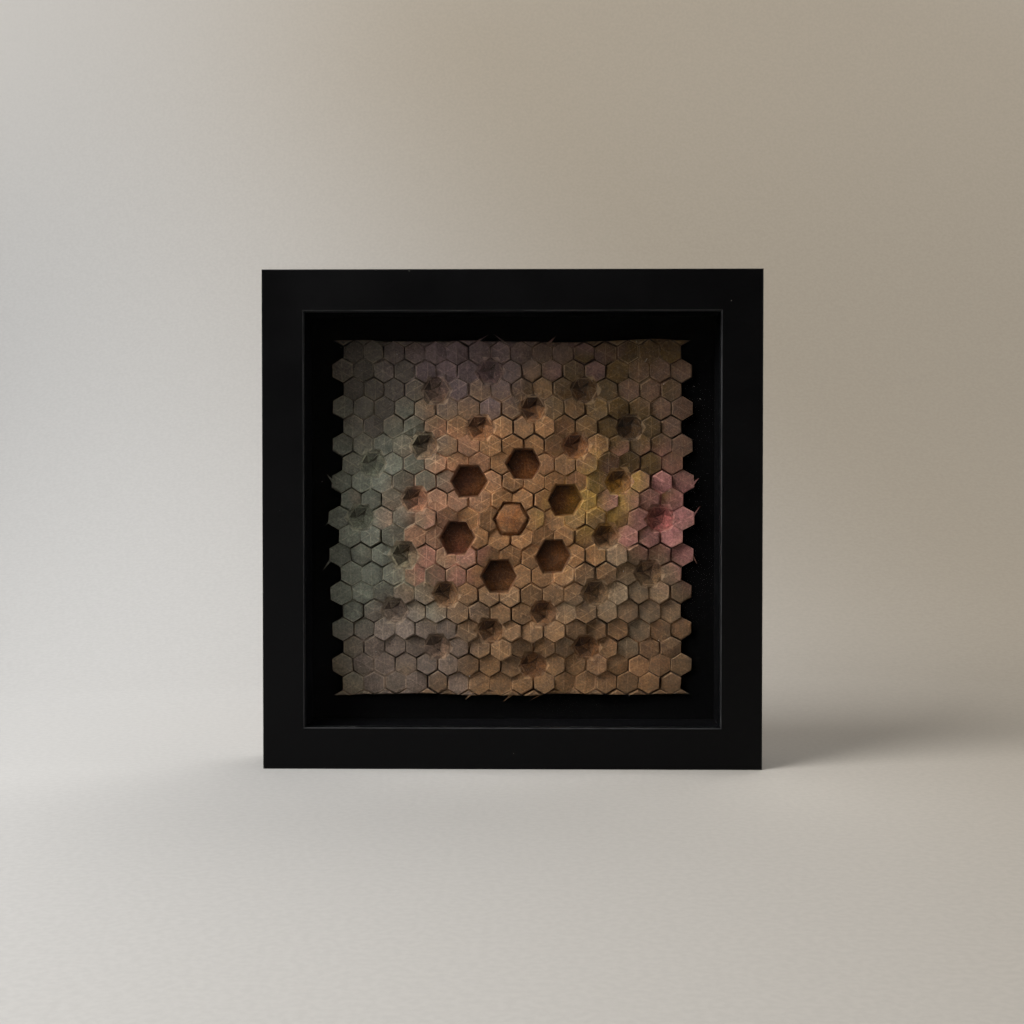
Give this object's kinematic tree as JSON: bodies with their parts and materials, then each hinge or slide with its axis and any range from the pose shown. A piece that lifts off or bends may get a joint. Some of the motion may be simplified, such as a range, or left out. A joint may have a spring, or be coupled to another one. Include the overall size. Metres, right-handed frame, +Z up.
{
  "type": "framed origami tessellation",
  "caption": "Deep square box frame holding a sheet of dyed paper folded into raised hexagons with deeper wells and pits, behind clear glazing, with a sawtooth hanger on its back.",
  "frame": {"origin": "middle of the frame's underside", "axes": "+Z up, the front faces -Y, the back faces +Y"},
  "size_m": [0.25, 0.045, 0.25],
  "materials": {
    "black_foil": "matte black foil on fibreboard",
    "black_spacer": "matte black",
    "black_card": "matte black card",
    "dyed_paper": "mottled dyed paper, matte",
    "clear_glazing": "clear, polished",
    "fibreboard": "bare brown fibreboard",
    "zinc_steel": "zinc plated"
  },
  "bodies": {
    "root": {"frame_rail_bottom": "black_foil", "frame_rail_left": "black_foil", "frame_rail_top": "black_foil", "frame_rail_right": "black_foil", "spacer_strip_bottom": "black_spacer", "spacer_strip_left": "black_spacer", "spacer_strip_top": "black_spacer", "spacer_strip_right": "black_spacer", "mount_card": "black_card", "folded_paper_sheet": "dyed_paper", "glazing_sheet": "clear_glazing", "backing_board": "fibreboard", "sawtooth_hanger": "zinc_steel", "hanger_rivets": "zinc_steel", "corner_nails": "zinc_steel", "spring_tabs": "zinc_steel"}
  },
  "joints": []
}
